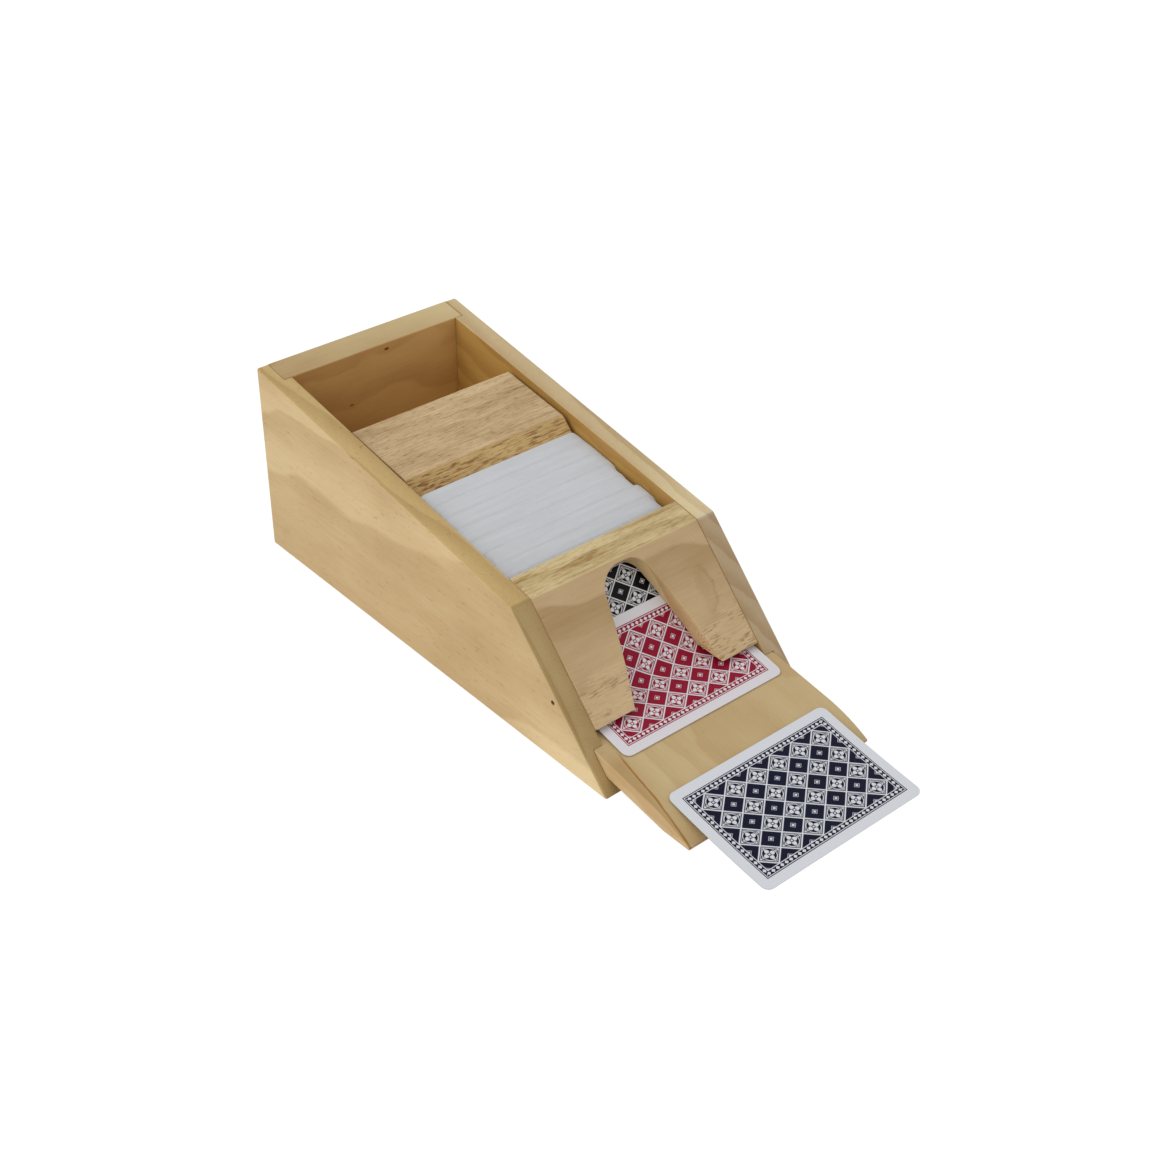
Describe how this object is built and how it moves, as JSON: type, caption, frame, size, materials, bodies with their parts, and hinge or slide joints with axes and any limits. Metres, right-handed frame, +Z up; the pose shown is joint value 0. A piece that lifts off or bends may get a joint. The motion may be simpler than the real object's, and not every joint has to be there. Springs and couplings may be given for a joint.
{
  "type": "card dealing shoe",
  "caption": "Open wooden card dealing shoe: sloped box, leaning front plate with a finger arch, wedge follower behind a stack of playing cards, and a ramp with cards being dealt.",
  "frame": {"origin": "centre of the base of the bounding box, on the surface the shoe stands on", "axes": "-Y is the way the cards are dealt, +Y runs to the tall rear end, +X is to the right of someone who looks along +Y, +Z is up"},
  "size_m": [0.112, 0.317, 0.0938],
  "materials": {
    "pine_sides": "pale pine boards, sanded and thinly varnished, satin",
    "pine_back": "pale pine board with two small knots, satin",
    "pine_floor": "pale pine board, grain along the ramp, satin",
    "pine_plate": "pale pine board, grain across the plate, satin",
    "rubberwood": "open-pored hardwood, bare and sanded",
    "card_edges": "cut edges of coated card stock",
    "card_black": "coated playing card, black printed back with a white border",
    "card_red": "coated playing card, crimson printed back with a white border",
    "card_navy": "coated playing card, navy printed back with a white border",
    "brad_steel": "plain steel brad, dulled, punched just below the wood"
  },
  "bodies": {
    "shoe": {"left_side_panel": "pine_sides", "right_side_panel": "pine_sides", "back_panel": "pine_back", "floor_board": "pine_floor", "front_plate": "pine_plate", "plate_brad_left": "brad_steel", "plate_brad_right": "brad_steel", "drawn_card": "card_red"},
    "follower": {"follower_block": "rubberwood"},
    "card_stack": {"next_card": "card_black", "card_packet_1": "card_edges", "card_packet_2": "card_edges", "card_packet_3": "card_edges", "card_packet_4": "card_edges", "card_packet_5": "card_edges", "card_packet_6": "card_edges", "card_packet_7": "card_edges", "card_packet_8": "card_edges"},
    "dealt_card": {"dealt_card": "card_navy"}
  },
  "joints": [
    {"name": "follower_slide", "type": "slide", "parent": "shoe", "child": "follower", "axis": [0, 0.9874, 0.158], "range_m": [0, 0.036]},
    {"name": "stack_lift", "type": "slide", "parent": "shoe", "child": "card_stack", "axis": [0, 0.6929, 0.721], "range_m": [0, 0.08]},
    {"name": "dealt_card_lift", "type": "slide", "parent": "shoe", "child": "dealt_card", "axis": [0, 0, 1], "range_m": [0, 0.06]}
  ]
}
